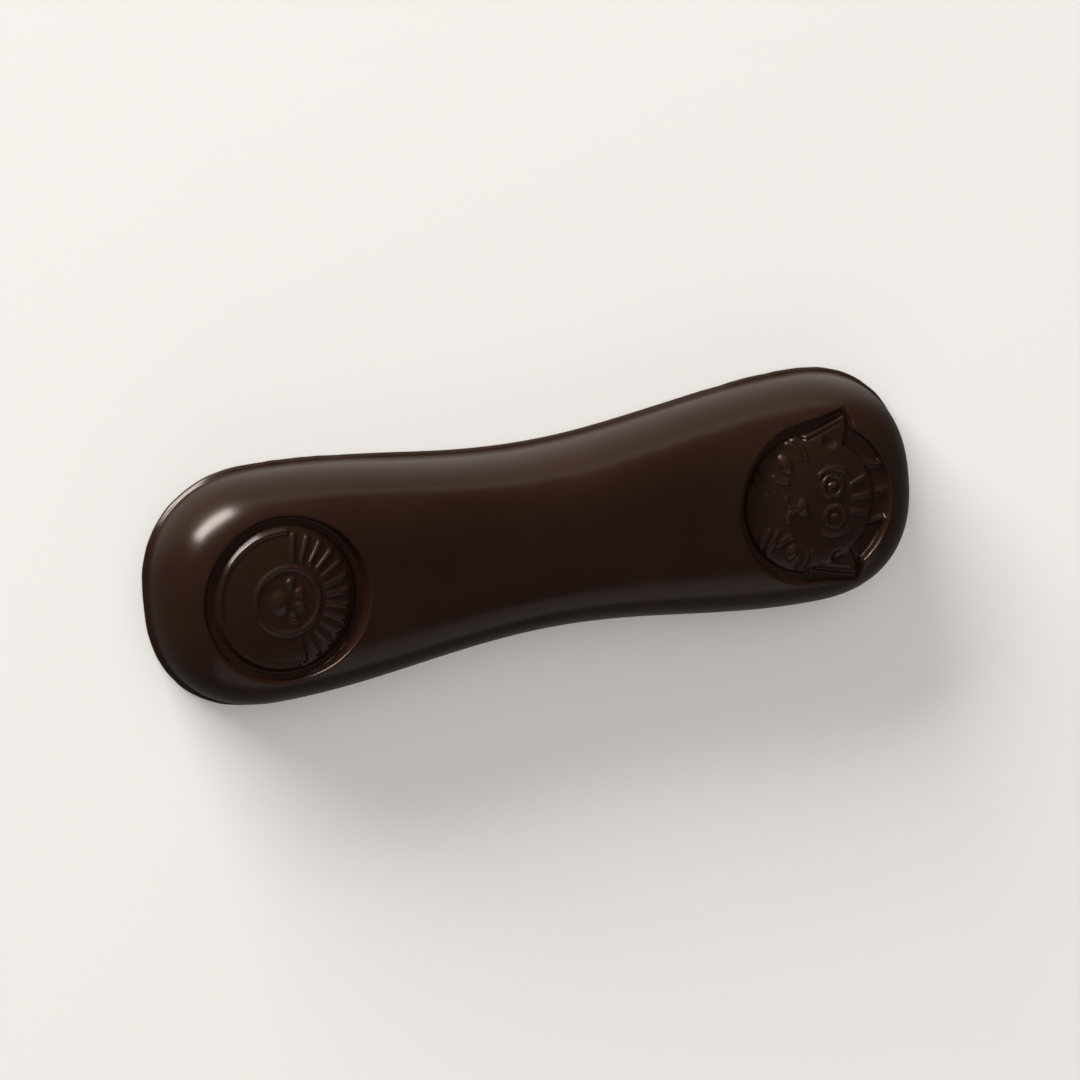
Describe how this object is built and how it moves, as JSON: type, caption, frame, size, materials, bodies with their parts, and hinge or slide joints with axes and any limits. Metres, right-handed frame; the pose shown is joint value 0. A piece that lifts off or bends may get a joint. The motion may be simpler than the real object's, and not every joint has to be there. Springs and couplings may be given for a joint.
{
  "type": "cat tongue chocolate",
  "caption": "Long bone-shaped chocolate with a flat back and a domed face, with a cat's head and a round medallion in sunk relief at its two ends.",
  "frame": {"origin": "under the middle of the flat poured back, at the centre of its outline", "axes": "+X along the piece towards the end with the cat's head, +Z out of the moulded face, +Y to the side of the piece that is uppermost in the picture"},
  "size_m": [0.084, 0.025, 0.009],
  "materials": {
    "chocolate": "satin dark chocolate"
  },
  "bodies": {
    "root": {"cat_tongue": "chocolate"}
  },
  "joints": []
}
